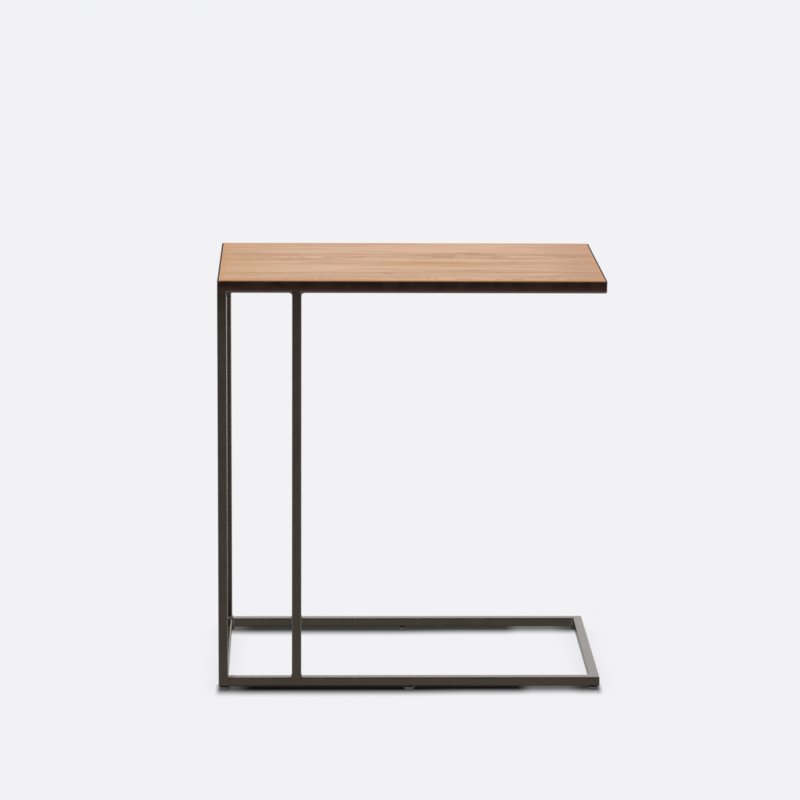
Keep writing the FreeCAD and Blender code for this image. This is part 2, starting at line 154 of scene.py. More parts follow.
class TableScrews(bpy.types.PropertyGroup):
    """Countersunk screws under the ledge."""
    segments: IntProperty(name="Segments", description="Facets round a screw", default=32, min=12)
    shank_radius: length("Shank radius", "Radius of a screw's shank", 2.0 * MM)
    cone_height: length("Cone height", "Depth of a countersunk head", 1.6 * MM)
    point_height: length("Point height", "Length of a screw's point", 3.0 * MM)
    recess_reach: share("Recess reach", "Reach of the cross recess, as a share of the head's radius", 0.58)
    recess_arm: share("Recess arm", "Half width of an arm, as a share of the head's radius", 0.14)
    recess_depth: length("Recess depth", "Depth of the cross recess", 1.3 * MM)
    zinc: colour("Zinc", "Black zinc plating", (0.085, 0.083, 0.088))


class TableGlides(bpy.types.PropertyGroup):
    """Levelling glides under the base."""
    thread_pitch: length("Thread pitch", "Rise of the thread in one turn", 1.0 * MM)
    thread_depth: length("Thread depth", "Depth of the thread", 0.55 * MM)
    stem_radius: length("Stem radius", "Outer radius of the thread", 3.0 * MM)
    neck_radius: length("Neck radius", "Radius of the neck over the button", 1.5 * MM)
    button_radius: length("Button radius", "Radius of the button in the pad", 2.6 * MM)
    button_height: length("Button height", "Height of the button", 1.3 * MM)
    collar_flats: length("Collar flats", "Width of the hexagon collar across its flats", 9.0 * MM)
    collar_height: length("Collar height", "Height of the hexagon collar", 0.8 * MM)
    collar_bottom: length("Collar level", "Underside of the collar above the floor", 5.1 * MM)
    segments: IntProperty(name="Segments", description="Facets round a stem", default=36, min=12)
    plastic: colour("Plastic", "Moulded pads", (0.085, 0.083, 0.080))


class TableStudio(bpy.types.PropertyGroup):
    """Floor, light and camera."""
    floor: colour("Floor", "Floor and backdrop", (0.888, 0.888, 0.905))
    floor_size: length("Floor size", "Side of the square floor", 80.0)
    floor_drop: length("Floor drop", "Gap that keeps the floor clear of the soles of the pads", 0.1 * MM)
    shade_reach: length("Shade reach", "How far the soft shade spreads from what touches the floor", 33 * MM)
    side_shade: share("Side shade", "Strength of the shade beside the short rails", 0.18)
    lit_share: share("Lit share", "Share of the floor's look that comes from the lamps themselves", 0.02)
    near_glow: share("Near glow", "Brightness of the floor round the table, as gloss shows it", 0.43)
    foot_glow: share("Foot glow", "Brightness that gloss shows besides, right before the table", 0.04)
    side_glow: brightness("Side glow", "Brightness of the floor to the right, as gloss shows it", 2.2)
    box_glow: brightness("Softbox", "Brightness of the softbox up on the left, as gloss shows it", 2.5)
    far_glow: share("Far glow", "Brightness of the floor far before the table, as gloss shows it", 0.01)
    dim_start: length("Dim start", "Distance before the table at which the floor begins to fall dark", 3.14)
    dim_reach: length("Dim reach", "Distance before the table at which the floor is dark", 3.34)
    sky: brightness("Sky", "Strength of the even light", 0.80)
    sun: brightness("Key", "Strength of the key light", 0.85)
    sun_tilt: angle("Key tilt", "Lean of the key light from overhead", 38)
    sun_turn: angle("Key turn", "Direction of the key light round the table", -60)
    sun_spread: angle("Key spread", "Apparent size of the key light", 22)
    lens: FloatProperty(name="Lens", description="Focal length on a 36 mm wide sensor", default=152.95,
                        subtype="DISTANCE_CAMERA")
    eye: FloatVectorProperty(name="Camera place", description="Place of the camera", size=3,
                             subtype="TRANSLATION", unit="LENGTH", default=(-0.1599, -4.8734, 1.4263))
    eye_turn: FloatVectorProperty(name="Camera turn", description="Rotation of the camera", size=3,
                                  subtype="EULER", default=tuple(map(math.radians, (78.042, -0.413, -1.656))))


# ----------------------------------------------------------
# Shader building
# ----------------------------------------------------------

class Wiring:
    """Puts nodes into one node tree. A value may be a number, a colour, or another node's socket."""

    def __init__(self, tree):
        self.tree = tree

    def feed(self, socket, value):
        if isinstance(value, bpy.types.NodeSocket):
            self.tree.links.new(value, socket)
        elif hasattr(socket.default_value, "__len__") and len(socket.default_value) == 4:
            socket.default_value = (*value, 1)
        else:
            socket.default_value = value

    def add(self, kind, inputs=None, **settings):
        node = self.tree.nodes.new(kind)
        for name, value in settings.items():
            setattr(node, name, value)
        return self.fill(node, inputs or {})

    def fill(self, node, inputs):
        for name, value in inputs.items():
            self.feed(node.inputs[name], value)
        return node

    def made(self, kind, inputs=None, **settings):
        """A new node's first output."""
        return self.add(kind, inputs, **settings).outputs[0]

    def math(self, operation, first, second=0.0, clamp=False):
        return self.made("ShaderNodeMath", {0: first, 1: second}, operation=operation, use_clamp=clamp)

    def plus(self, first, second, clamp=False):
        return self.math("ADD", first, second, clamp)

    def minus(self, first, second):
        return self.math("SUBTRACT", first, second)

    def times(self, first, second):
        return self.math("MULTIPLY", first, second)

    def size_of(self, value):
        return self.math("ABSOLUTE", value)

    def blend(self, amount, first, second):
        return self.add("ShaderNodeMix", {0: amount, 6: first, 7: second}, data_type="RGBA").outputs[2]

    def mixed(self, amount, first, second):
        return self.made("ShaderNodeMixShader", {0: amount, 1: first, 2: second})

    def between(self, value, low, high, start=0.0, end=1.0):
        """A smooth step from start to end while the value goes from low to high."""
        names = {"Value": value, "From Min": low, "From Max": high, "To Min": start, "To Max": end}
        return self.made("ShaderNodeMapRange", names, interpolation_type="SMOOTHSTEP")

    def stretched(self, vector, scale, shift=(0, 0, 0)):
        names = {"Vector": vector, "Scale": scale, "Location": shift}
        return self.made("ShaderNodeMapping", names)

    def noise(self, vector, detail=2.0, roughness=0.5):
        names = {"Vector": vector, "Scale": 1.0, "Detail": detail, "Roughness": roughness}
        return self.add("ShaderNodeTexNoise", names).outputs["Fac"]

    def object_place(self):
        return self.add("ShaderNodeTexCoord").outputs["Object"]

    def parts(self, vector):
        return self.add("ShaderNodeSeparateXYZ", {0: vector}).outputs

    def reach_of(self, vector):
        return self.add("ShaderNodeVectorMath", {0: vector}, operation="LENGTH").outputs["Value"]

    def group(self, tree, inputs):
        return self.fill(self.add("ShaderNodeGroup", node_tree=tree), inputs)


def masks(*titles):
    return [(title, "Float", None) for title in titles]


def new_group(name, inputs, outputs):
    """A shader node group. inputs and outputs list (socket name, socket kind, default or None)."""
    tree = bpy.data.node_groups.new(name, "ShaderNodeTree")
    for in_out, sockets in (("INPUT", inputs), ("OUTPUT", outputs)):
        for socket_name, kind, default in sockets:
            socket = tree.interface.new_socket(socket_name, in_out=in_out, socket_type=f"NodeSocket{kind}")
            if default is not None:
                socket.default_value = default
    wiring = Wiring(tree)
    source = tree.nodes.new("NodeGroupInput").outputs
    sink = tree.nodes.new("NodeGroupOutput").inputs
    return tree, wiring, source, sink


def new_material(name):
    """A material with one surface shader, and the wiring for it."""
    material = bpy.data.materials.new(name)
    material.use_nodes = True
    wiring = Wiring(material.node_tree)
    return material, wiring, material.node_tree.nodes["Principled BSDF"]


def bumped(wiring, height, distance, strength=1.0):
    names = {"Height": height, "Distance": distance, "Strength": strength}
    return wiring.made("ShaderNodeBump", names)


def late_wood(w, turn, start, end):
    """Colour that grows over one ring from start to end and drops where the next ring begins."""
    return w.times(w.between(turn, start, end), w.between(turn, end, 1.0, 1.0, 0.0))


def plank_figure():
    """Growth rings, streaks, fibres and pores of a board sawn along X from a tree that leans a little.
    Groups of three numbers say how often a pattern repeats in a metre along X, Y and Z."""
    name = "Plank figure"
    if name in bpy.data.node_groups:
        return bpy.data.node_groups[name]
    tree, w, source, sink = new_group(name, [
        ("Vector", "Vector", None),
        ("Ring Gap", "Float", 5 * MM),
        ("Pith Depth", "Float", 45 * MM),
        ("Pith Line", "Float", 0.0),
        ("Lean", "Float", 0.1),
        ("Waviness", "Float", 12 * MM),
        ("Knot", "Vector", None),
        ("Knot Size", "Float", 6.8 * MM),
    ], masks("Rings", "Streaks", "Flame", "Warmth", "Fibre", "Pores", "Knot"))
    vector = source["Vector"]
    place = w.parts(vector)

    def pattern(repeats, detail=2.0, roughness=0.5):
        return w.noise(w.stretched(vector, repeats), detail, roughness)

    def sway(repeats, amount, detail=2.0):
        return w.times(w.minus(pattern(repeats, detail), 0.5), amount)

    knot_shape = (0.45, 1.0, 0.3)
    knot_pull = 1.2
    to_knot = w.made("ShaderNodeVectorMath", {0: vector, 1: source["Knot"]}, operation="SUBTRACT")
    knot_share = w.math("DIVIDE", w.reach_of(w.stretched(to_knot, knot_shape)), source["Knot Size"])
    pull = w.times(w.between(knot_share, 0.0, 4.5, 1.0, 0.0), source["Knot Size"])

    push = w.plus(sway((2.6, 9, 9), source["Waviness"]), sway((21, 60, 60), 7 * MM, 3.0))
    side = w.plus(w.minus(place["Y"], source["Pith Line"]), push)
    depth = w.plus(source["Pith Depth"], w.times(place["X"], source["Lean"]))
    depth = w.plus(w.minus(depth, place["Z"]), push)
    radius = w.math("SQRT", w.plus(w.times(side, side), w.times(depth, depth)))
    radius = w.plus(radius, w.times(pull, knot_pull))
    turn = w.plus(w.math("DIVIDE", radius, source["Ring Gap"]), sway((5, 34, 34), 1.6))
    ring = late_wood(w, w.math("FRACT", turn), 0.10, 0.88)
    w.feed(sink["Rings"], w.times(ring, w.between(pattern((7, 40, 40)), 0.32, 0.66, 0.25, 1.0)))

    broad, narrow = pattern((2.2, 24, 24), 2.0, 0.55), pattern((9, 170, 170), 3.0, 0.60)
    w.feed(sink["Streaks"], w.plus(w.times(broad, 0.50), w.times(narrow, 0.50)))

    flames_in_a_rise = 13.0
    bow_of_a_flame = 5200.0
    rise = w.times(pattern((8, 5, 5), 1.0), flames_in_a_rise)
    bow = w.times(w.times(side, side), bow_of_a_flame)
    tip = w.math("FRACT", w.plus(w.plus(rise, bow), sway((50, 85, 85), 1.5)))
    over_pith = w.between(w.size_of(side), 14 * MM, 36 * MM, 1.0, 0.0)
    here = w.between(pattern((9, 22, 22)), 0.34, 0.50)
    w.feed(sink["Flame"], w.times(w.times(late_wood(w, tip, 0.25, 0.80), over_pith), here))

    w.feed(sink["Warmth"], w.between(pattern((4, 16, 16)), 0.45, 0.68))
    w.feed(sink["Fibre"], pattern((28, 1300, 1300), 4.0, 0.6))
    w.feed(sink["Pores"], w.between(pattern((150, 2400, 2400), 1.0), 0.64, 0.72))
    w.feed(sink["Knot"], w.between(knot_share, 0.9, 0.3))
    return tree


def lacquer_mottle():
    """Cloudy blackening, fine speckle and the faint orange peel of sprayed lacquer."""
    name = "Lacquer mottle"
    if name in bpy.data.node_groups:
        return bpy.data.node_groups[name]
    tree, w, source, sink = new_group(name, [
        ("Vector", "Vector", None),
        ("Mottle Size", "Float", 30 * MM),
    ], masks("Mottle", "Speckle", "Peel"))
    scaled = w.add("ShaderNodeVectorMath", {0: source["Vector"]}, operation="SCALE")
    w.feed(scaled.inputs["Scale"], w.math("DIVIDE", 1.0, source["Mottle Size"]))
    w.feed(sink["Mottle"], w.between(w.noise(scaled.outputs[0], 3.0, 0.6), 0.35, 0.68))
    for title, repeats in (("Speckle", 900), ("Peel", 420)):
        w.feed(sink[title], w.noise(w.stretched(source["Vector"], (repeats, repeats, repeats)), 2.0))
    return tree


# ----------------------------------------------------------
# Materials
# ----------------------------------------------------------

def board_material(wood, name, board, shift, pith_line, lean, knot, darkness, marks):
    """One board's wood. shift moves its grain along the tree, darkness adds to its share of ring colour, and
    marks lists its bands and lines: (colour, strength, centre x, centre y, half length, half width)."""
    material, w, shader = new_material(name)
    place = w.object_place()
    figure = w.group(plank_figure(), {
        "Vector": w.stretched(place, (1, 1, 1), shift),
        "Ring Gap": wood.ring_gap,
        "Pith Depth": wood.pith_depth,
        "Pith Line": pith_line,
        "Lean": lean,
        "Waviness": wood.waviness,
        "Knot": knot,
    }).outputs
    rings = w.times(figure["Rings"], wood.ring_strength)
    flame = w.times(figure["Flame"], wood.flame_strength)
    streaks = w.between(figure["Streaks"], 0.31, 0.69, -0.62, 0.68)
    fibre = w.between(figure["Fibre"], 0.30, 0.70, -0.16, 0.16)
    amount = w.plus(w.plus(rings, streaks), w.plus(w.plus(fibre, flame), darkness), True)
    body = w.blend(amount, wood.pale, wood.dark)
    layers = [(w.times(figure["Warmth"], 0.16), wood.oiled)]
    layers += [(w.times(band_mask(w, place, *spot), strength), tone) for tone, strength, *spot in marks]
    facing = w.parts(w.add("ShaderNodeTexCoord").outputs["Normal"])
    layers += [
        (w.times(figure["Knot"], wood.knot_strength), wood.dark),
        (w.times(figure["Pores"], wood.pore_strength), wood.pore),
        (rim_mask(w, wood, place, figure["Streaks"]), wood.oiled),
        (seam_mask(w, place, board, figure["Fibre"]), wood.seam),
        # Painted shade: the eased front and rear edges are blended towards the darker edge colour where they
        # turn to the front and back.
        (w.between(w.size_of(facing["Y"]), 0.10, 0.70, 0.0, 0.95), wood.oiled),
        # Painted highlight: the eased edges at the two ends, turned to the sides, are blended towards a pale
        # colour.
        (w.between(w.size_of(facing["X"]), 0.08, 0.50, 0.0, 0.85), wood.edge_glint),
    ]
    for mask, tone in layers:
        body = w.blend(mask, body, tone)
    rough = w.plus(w.times(figure["Fibre"], 0.16), wood.roughness - 0.08)
    height = w.minus(w.times(figure["Fibre"], 0.35), figure["Pores"])
    w.fill(shader, {
        "Base Color": body,
        "Roughness": w.plus(rough, w.times(figure["Pores"], 0.2)),
        "Normal": bumped(w, height, 0.05 * MM, 0.6),
        "IOR": 1.42,
    })
    return material


def rim_mask(w, wood, place, streaks):
    """Darker colour that fades in from the edge of the whole top, further in some places than in others."""
    high = whole_top()[1]
    axes = w.parts(place)
    reach = w.between(streaks, 0.35, 0.65, wood.rim_reach * 0.4, wood.rim_reach * 1.5)

    def fade(edge, place_along, end, strength):
        gap = w.minus(edge, w.size_of(place_along))
        return w.between(w.math("DIVIDE", gap, reach), 0.2, end, strength, 0.0)

    return w.math("MAXIMUM", fade(high.x, axes["X"], 1.1, 0.60), fade(high.y, axes["Y"], 0.9, 0.80))


def band_mask(w, place, x, y, half_length, half_width):
    """1 at the middle of a band along the grain, 0 outside it."""
    off = w.stretched(place, (1 / half_length, 1 / half_width, 0), (-x / half_length, -y / half_width, 0))
    return w.between(w.reach_of(off), 0.25, 1.0, 1.0, 0.0)


def seam_mask(w, place, board, fibre):
    """Glue line along each edge of a board that meets another board."""
    low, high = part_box(board)
    top_low, top_high = whole_top()
    across = w.parts(place)["Y"]
    mask = 0.0
    for level, is_seam in ((low.y, low.y > top_low.y + MM), (high.y, high.y < top_high.y - MM)):
        if is_seam:
            gap = w.size_of(w.minus(across, level))
            line = w.between(gap, 0.2 * MM, 1.1 * MM, 0.60, 0.0)
            haze = w.between(gap, 0.0, 7 * MM, 0.12, 0.0)
            mask = w.math("MAXIMUM", mask, w.math("MAXIMUM", line, haze))
    return w.times(mask, w.between(fibre, 0.3, 0.6, 0.6, 1.0))


def whole_top():
    """Lowest and highest corner of the three boards together."""
    return box_round([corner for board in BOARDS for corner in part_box(board)])


def box_round(points):
    """Lowest and highest corner of the box round some points."""
    low = Vector(min(point[axis] for point in points) for axis in range(3))
    high = Vector(max(point[axis] for point in points) for axis in range(3))
    return low, high


def steel_material(steel, name, thick, thin, spread, peel, crowned=False):
    """Blackened and lacquered steel. thick and thin are its colours under thick and thin blackening, spread
    scales its clouds, peel is the height of its orange peel, and crowned adds what only the angle has."""
    material, w, shader = new_material(name)
    place = w.object_place()
    coat = w.group(lacquer_mottle(), {"Vector": place, "Mottle Size": steel.mottle * spread}).outputs
    patch = w.plus(w.times(coat["Mottle"], 0.8), w.times(coat["Speckle"], 0.25))
    # Paler rounded edges: partly bare steel, partly a painted highlight standing in for the light that the
    # rounded corners catch.
    edge_glint = w.between(coat["Speckle"], 0.30, 0.62, 0.45 * steel.wear, steel.wear)
    wear = w.times(rounded_edges(w), edge_glint)
    metal = w.blend(wear, w.blend(patch, thick, thin), steel.worn)
    rough = w.plus(w.times(coat["Mottle"], 0.10), steel.roughness)
    height = w.times(coat["Peel"], peel / MM)
    if crowned:
        level = w.parts(place)["Z"]
        bottom, top = (corner.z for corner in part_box("top_angle_front"))
        # Painted highlight: the lowest millimetres of the angle's face are blended towards the pale edge
        # colour, standing in for the bright floor that the rounded heel reflects.
        heel_shine = w.between(level, bottom + 6 * MM, bottom + 1 * MM, 0.0, 0.22)
        # The sawn top edge round the boards is made bare, dull and dark brown.
        sawn = w.between(level, top - 0.9 * MM, top - 0.3 * MM)
        bare = w.minus(1.0, sawn)
        metal = w.blend(sawn, w.blend(heel_shine, metal, steel.worn), steel.dull)
        rough = w.math("MAXIMUM", rough, w.times(sawn, 0.75))
        height = w.plus(height, crown_height(w, level, steel.crown / MM))
        coated = w.times(bare, 0.60)
    else:
        bare = 1.0
        coated = w.minus(1.0, w.times(wear, 0.5))
    w.fill(shader, {
        "Base Color": metal,
        "Metallic": bare,
        "Roughness": rough,
        "Normal": bumped(w, height, 1.0 * MM),
        "Coat Weight": coated,
        "Coat Roughness": steel.lacquer,
        "Coat IOR": 1.68,
    })
    return material


def rounded_edges(w):
    """1 on the rounded edges of square stock, 0 on its flats."""
    facing = w.parts(w.add("ShaderNodeTexCoord").outputs["Normal"])
    most = w.size_of(facing["X"])
    for axis in ("Y", "Z"):
        most = w.math("MAXIMUM", most, w.size_of(facing[axis]))
    return w.between(most, 0.78, 0.97, 1.0, 0.0)


def crown_height(w, level, crown):
    """Height of the faintly swollen face of the angle, which is rolled, not machined."""
    low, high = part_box("top_angle_front")
    middle = (low.z + high.z) / 2
    across = w.math("DIVIDE", w.minus(level, middle), (high.z - low.z) / 2)
    return w.times(w.times(across, across), -crown)


def zinc_material(zinc):
    """Black zinc plating with its faint cloudiness."""
    material, w, shader = new_material("Zinc plating")
    coat = w.group(lacquer_mottle(), {"Vector": w.object_place(), "Mottle Size": 6 * MM}).outputs
    shaded = [tone * 0.72 for tone in zinc]
    w.fill(shader, {
        "Base Color": w.blend(coat["Mottle"], zinc, shaded),
        "Metallic": 1.0,
        "Roughness": w.plus(w.times(coat["Speckle"], 0.18), 0.24),
        "Normal": bumped(w, coat["Peel"], 0.01 * MM),
    })
    return material


def plastic_material(plastic):
    """Moulded pads with a fine grain, paler near the floor: partly scuffing, partly painted light on their
    lower part, which stands clear of the rail's shade.
    """
    material, w, shader = new_material("Moulded plastic")
    place = w.object_place()
    coat = w.group(lacquer_mottle(), {"Vector": place, "Mottle Size": 5 * MM}).outputs
    low = w.between(w.parts(place)["Z"], 0.0, 3 * MM, 1.0, 0.0)
    # Painted light as well as scuffing: the lowest 3 mm of the pads are blended towards a paler copy of the
    # plastic.
    scuffed_and_lit = [tone * 2.4 for tone in plastic]
    w.fill(shader, {
        "Base Color": w.blend(w.times(low, coat["Speckle"]), plastic, scuffed_and_lit),
        "Roughness": w.plus(w.times(coat["Mottle"], 0.08), 0.16),
        "Normal": bumped(w, coat["Speckle"], 0.01 * MM, 0.5),
        "IOR": 1.53,
    })
    return material


def nodes_named(*starts):
    return [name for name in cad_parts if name.startswith(starts)]


def paint(node_names, material):
    for name in node_names:
        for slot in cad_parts[name].material_slots:
            slot.material = material


# ----------------------------------------------------------
# Mesh building
# ----------------------------------------------------------

def finish_piece(name, mesh_builder, material, body, node):
    """Turn a bmesh into an object that rides on a body and stands for a CAD node."""
    bmesh.ops.recalc_face_normals(mesh_builder, faces=mesh_builder.faces)
    mesh = bpy.data.meshes.new(name)
    mesh_builder.to_mesh(mesh)
    mesh_builder.free()
    mesh.materials.append(material)
    mesh.shade_smooth()
    mesh.set_sharp_from_angle(angle=CREASE)
    piece = bpy.data.objects.new(name, mesh)
    bpy.context.scene.collection.objects.link(piece)
    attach(piece, body)
    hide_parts(node)


def merged_copy(node_name):
    """A bmesh of a CAD node with its loose triangles joined."""
    copy = bmesh.new()
    copy.from_mesh(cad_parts[node_name].data)
    bmesh.ops.remove_doubles(copy, verts=copy.verts, dist=0.002 * MM)
    return copy


def islands(mesh_builder):
    """The separate solids of a bmesh, each a set of vertices, in the order of their first vertices."""
    placed = set()
    found = []
    for first in mesh_builder.verts:
        if first in placed:
            continue
        island = {first}
        edge_of_search = [first]
        while edge_of_search:
            vertex = edge_of_search.pop()
            fresh = {edge.other_vert(vertex) for edge in vertex.link_edges} - island
            island |= fresh
            edge_of_search += fresh
        placed |= island
        found.append(island)
    return found


def corners_of(vertices):
    return box_round([vertex.co for vertex in vertices])


def upright_at(low, high, height):
    """Moves a piece made about Z to the middle of a box's plan, at a height."""
    return Matrix.Translation(((low.x + high.x) / 2, (low.y + high.y) / 2, height))


def add_to(whole, part):
    """Put one bmesh into another and free it."""
    carrier = bpy.data.meshes.new("carrier")
    part.to_mesh(carrier)
    part.free()
    whole.from_mesh(carrier)
    bpy.data.meshes.remove(carrier)


def turned_profile(mesh_builder, points, segments):
    """Spin a profile of (radius, height) points about Z into a closed solid."""
    vertices = [mesh_builder.verts.new((radius, 0, height)) for radius, height in points]
    edges = [mesh_builder.edges.new(pair) for pair in zip(vertices, vertices[1:])]
    bmesh.ops.spin(mesh_builder, geom=vertices + edges, cent=(0, 0, 0), axis=UP, angle=2 * math.pi,
                   steps=segments, use_merge=True)
    bmesh.ops.remove_doubles(mesh_builder, verts=mesh_builder.verts, dist=0.001 * MM)


def cap_open_ends(mesh_builder):
    rims = [edge for edge in mesh_builder.edges if edge.is_boundary]
    bmesh.ops.holes_fill(mesh_builder, edges=rims)


# ----------------------------------------------------------
# Pieces
# ----------------------------------------------------------

def screw_builder(screws, head_radius, neck_radius, reach):
    """A countersunk wood screw that points up from z = 0, with a cross cut into its head."""
    screw = bmesh.new()
    eased_rim = 0.04 * MM
    tip_share, recess_taper = 0.25, 0.72
    made = bmesh.ops.create_circle(screw, segments=screws.segments, radius=screws.shank_radius * tip_share,
                                   matrix=Matrix.Translation((0, 0, reach)), cap_ends=True)
    rim = list({edge for vertex in made["verts"] for edge in vertex.link_edges})

    def next_ring(rim_edges, radius, height, shape=None):
        grown = bmesh.ops.extrude_edge_only(screw, edges=rim_edges)["geom"]
        for vertex in (item for item in grown if isinstance(item, bmesh.types.BMVert)):
            direction = vertex.co.xy.normalized()
            spot = direction * (radius if shape is None else radius * shape(direction))
            vertex.co = Vector((spot.x, spot.y, height))
        return [item for item in grown if isinstance(item, bmesh.types.BMEdge)]

    def cross(direction):
        short_side, long_side = sorted(map(abs, direction))
        arm = min(screws.recess_reach / long_side, screws.recess_arm / max(short_side, 1e-6))
        return max(arm, screws.recess_arm * 1.2)

    rim = next_ring(rim, screws.shank_radius, reach - screws.point_height)
    rim = next_ring(rim, screws.shank_radius, screws.cone_height)
    rim = next_ring(rim, neck_radius, screws.cone_height)
    rim = next_ring(rim, head_radius, eased_rim)
    rim = next_ring(rim, head_radius - eased_rim, 0.0)
    rim = next_ring(rim, head_radius, 0.0, cross)
    next_ring(rim, head_radius * recess_taper, screws.recess_depth, cross)
    cap_open_ends(screw)
    return screw


def thread_builder(glides, bottom, top):
    """A threaded rod about Z, cut square at both ends, with its tip narrowed."""
    pitch = glides.thread_pitch
    outer = glides.stem_radius
    inner = outer - glides.thread_depth
    rod = bmesh.new()
    tooth = [(inner, 0.0), (inner, 0.12), (outer, 0.44), (outer, 0.56), (inner, 0.88), (inner, 1.0)]
    start = bottom - 2 * pitch
    vertices = [rod.verts.new((radius, 0, start + rise * pitch)) for radius, rise in tooth]
    edges = [rod.edges.new(pair) for pair in zip(vertices, vertices[1:])]
    turns = math.ceil((top - bottom) / pitch) + 4
    steps = turns * glides.segments
    bmesh.ops.spin(rod, geom=vertices + edges, cent=(0, 0, 0), axis=UP, dvec=UP * pitch / glides.segments,
                   angle=2 * math.pi * turns, steps=steps)
    bmesh.ops.remove_doubles(rod, verts=rod.verts, dist=0.004 * MM)
    for level, way in ((bottom, -1), (top, 1)):
        everything = rod.verts[:] + rod.edges[:] + rod.faces[:]
        bmesh.ops.bisect_plane(rod, geom=everything, plane_co=UP * level, plane_no=UP * way, clear_outer=True)
    cap_open_ends(rod)
    chamfer = glides.thread_depth * 1.4
    for vertex in rod.verts:
        flat = vertex.co.xy
        allowed = outer - max(0.0, vertex.co.z - (top - chamfer))
        if flat.length > allowed:
            vertex.co.xy = flat.normalized() * allowed
    return rod


def stem_builder(glides, bottom, top):
    """Button, neck, hexagon collar and thread of one glide, about Z."""
    collar_middle = glides.collar_bottom + glides.collar_height * 0.5
    stem = thread_builder(glides, collar_middle, top)
    lathe = bmesh.new()
    button_top = bottom + glides.button_height
    ease = 0.15 * MM
    turned_profile(lathe, [
        (0, bottom),
        (glides.button_radius - ease, bottom),
        (glides.button_radius, bottom + ease),
        (glides.button_radius, button_top - ease),
        (glides.button_radius - ease, button_top),
        (glides.neck_radius, button_top),
        (glides.neck_radius, collar_middle),
        (0, collar_middle),
    ], glides.segments)
    nut = bmesh.new()
    corner = glides.collar_flats / math.sqrt(3)
    bmesh.ops.create_cone(nut, cap_ends=True, segments=6, radius1=corner, radius2=corner,
                          depth=glides.collar_height, matrix=Matrix.Translation((0, 0, collar_middle)))
    bmesh.ops.bevel(nut, geom=nut.edges[:], offset=0.12 * MM, offset_type="OFFSET", segments=2, profile=0.5,
                    affect="EDGES", material=-1)
    for part in (lathe, nut):
        add_to(stem, part)
    return stem


def rippled_bead(welds, bead, island):
    """Slice one fillet along its length and raise ripples on its hollow face. The ripples curve back towards
    the fused edges, which stay where they are, and the bead swells where it starts and stops."""
    fused_share, curve_back, end_swell = 0.02, 0.9, 1.5
    low, high = corners_of(island)
    spans = high - low
    along = max(range(3), key=lambda axis: spans[axis])
    middle = sum((vertex.co for vertex in island), Vector()) / len(island)
    centre = (low + high) / 2
    out = Vector(0.0 if axis == along else math.copysign(1, centre[axis] - middle[axis]) for axis in range(3))
    heel = Vector(centre[axis] if axis == along else (low[axis] if out[axis] > 0 else high[axis])
                  for axis in range(3))
    normal = Vector(1.0 if axis == along else 0.0 for axis in range(3))
    cuts = max(2, round(spans[along] / welds.slice_gap))
    for number in range(1, cuts):
        faces = {face for vertex in island for face in vertex.link_faces}
        geometry = list(island) + list({edge for face in faces for edge in face.edges}) + list(faces)
        level = low[along] + spans[along] * number / cuts
        cut = bmesh.ops.bisect_plane(bead, geom=geometry, dist=1e-7, plane_co=normal * level, plane_no=normal)
        island |= {item for item in cut["geom_cut"] if isinstance(item, bmesh.types.BMVert)}
    leg = min(spans[axis] for axis in range(3) if axis != along)
    for vertex in island:
        offset = vertex.co - heel
        offset[along] = 0
        across = [abs(offset[axis]) for axis in range(3) if axis != along]
        if min(across) < fused_share * leg:
            continue
        lean = (across[0] - across[1]) / leg
        place = vertex.co[along] - low[along] + lean * lean * curve_back * welds.ripple_gap
        end_ease = min(1.0, (vertex.co[along] - low[along]) / leg, (high[along] - vertex.co[along]) / leg)
        wave = 0.5 + 0.5 * math.cos(2 * math.pi * place / welds.ripple_gap)
        height = welds.ripple_depth * (wave * (1 - lean * lean) + end_swell * end_ease * (1 - abs(lean)))
        vertex.co += out.normalized() * height


def ground_fill(low, high, corner):
    """A block that closes the notch round one end of an upright, its corners rounded like the tube's."""
    block = bmesh.new()
    bmesh.ops.create_cube(block, size=1.0)
    for vertex in block.verts:
        vertex.co = Vector(high[axis] if vertex.co[axis] > 0 else low[axis] for axis in range(3))
    corners = [edge for edge in block.edges if edge.verts[0].co.z != edge.verts[1].co.z]
    bmesh.ops.bevel(block, geom=corners, offset=corner, segments=6, profile=0.5, affect="EDGES", material=-1)
    return block


# ----------------------------------------------------------
# Operators
# ----------------------------------------------------------

